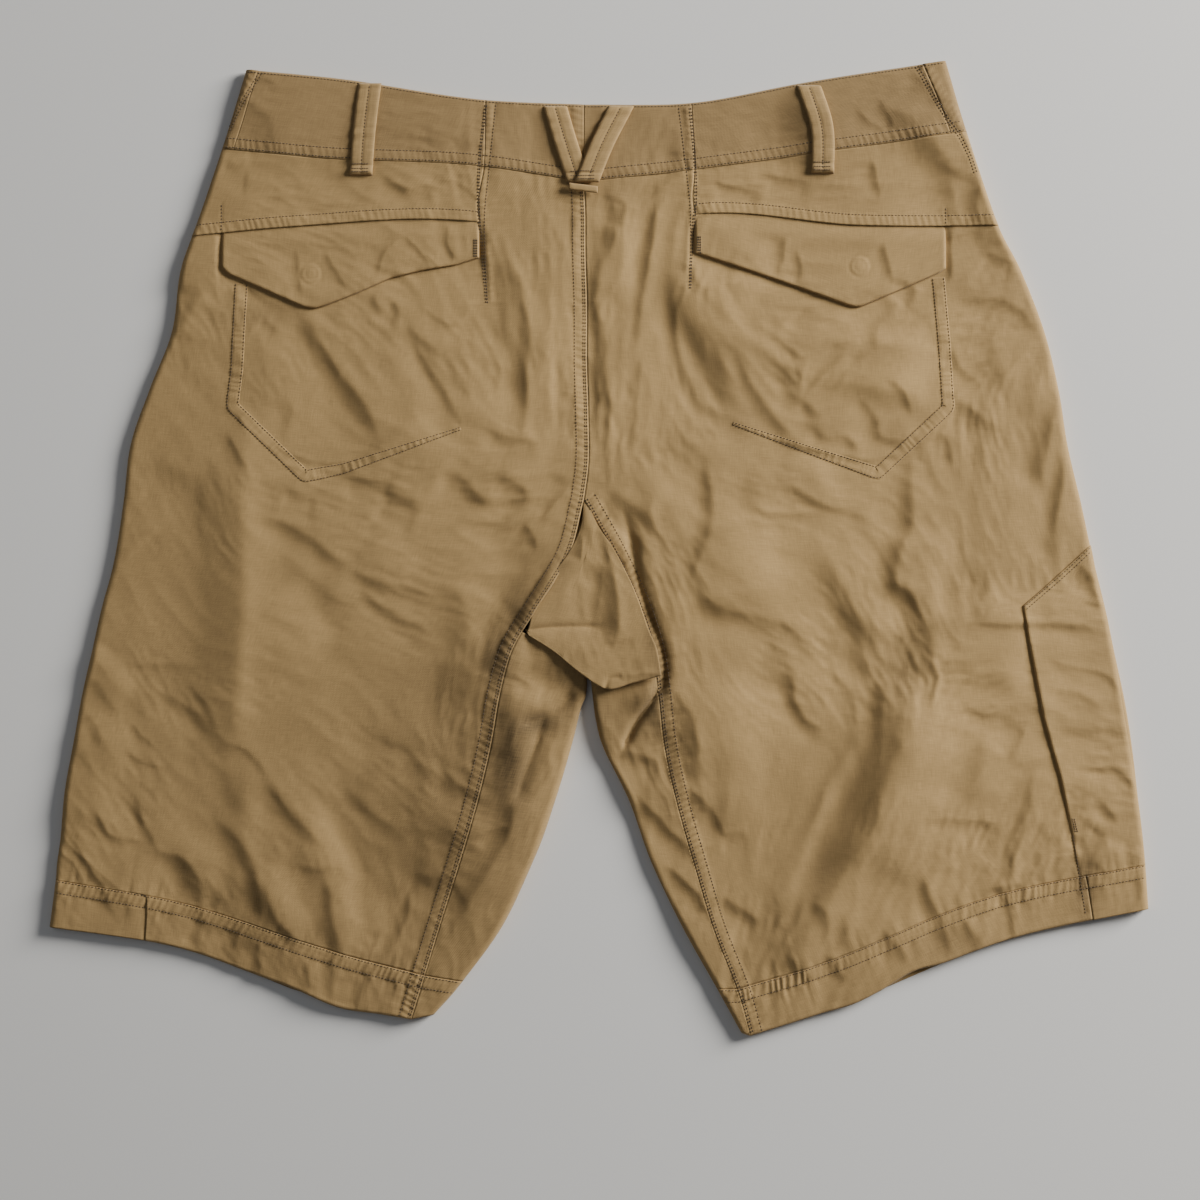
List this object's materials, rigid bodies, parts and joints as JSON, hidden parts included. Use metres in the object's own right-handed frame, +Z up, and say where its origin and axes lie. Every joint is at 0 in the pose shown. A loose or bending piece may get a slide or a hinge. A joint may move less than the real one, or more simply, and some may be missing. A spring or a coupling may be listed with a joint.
{
  "type": "cargo shorts laid flat, back up",
  "caption": "Knee-length canvas cargo shorts laid flat with the back up: flapped back pockets, belt loops, crossed loop at the centre back, crotch gusset and side cargo pockets.",
  "frame": {"origin": "on the surface the shorts lie on, at the middle of their bounding box in plan", "axes": "+X to the right of the laid garment, +Y towards its waist, +Z up, away from the surface"},
  "size_m": [0.726, 0.6439, 0.0145],
  "materials": {
    "canvas": "matt khaki light canvas, plain weave, worn lighter at the seams",
    "canvas_under": "the same canvas on the under layer",
    "loop_canvas": "the same canvas, folded and stitched into loops",
    "thread": "matt khaki sewing thread, a little darker than the cloth"
  },
  "bodies": {
    "root": {"back_panel_left": "canvas", "back_panel_right": "canvas", "back_pocket_left": "canvas", "back_pocket_right": "canvas", "belt_loop_front_left": "loop_canvas", "belt_loop_front_right": "loop_canvas", "belt_loop_left": "loop_canvas", "belt_loop_right": "loop_canvas", "belt_loop_v_left": "loop_canvas", "belt_loop_v_right": "loop_canvas", "cargo_pocket_left": "canvas_under", "cargo_pocket_right": "canvas", "flap_left": "canvas", "flap_right": "canvas", "fly_placket": "canvas_under", "front_panel_left": "canvas_under", "front_panel_right": "canvas_under", "gusset_centre": "canvas", "gusset_left": "canvas", "gusset_right": "canvas", "hem_back_left": "canvas", "hem_back_right": "canvas", "hem_front_left": "canvas", "hem_front_right": "canvas", "hem_gusset_left": "canvas", "hem_gusset_right": "canvas", "waistband_back_centre_left": "canvas", "waistband_back_centre_right": "canvas", "waistband_back_side_left": "canvas", "waistband_back_side_right": "canvas", "waistband_front_left": "canvas", "waistband_front_right": "canvas", "yoke_left": "canvas", "yoke_right": "canvas"}
  },
  "joints": []
}
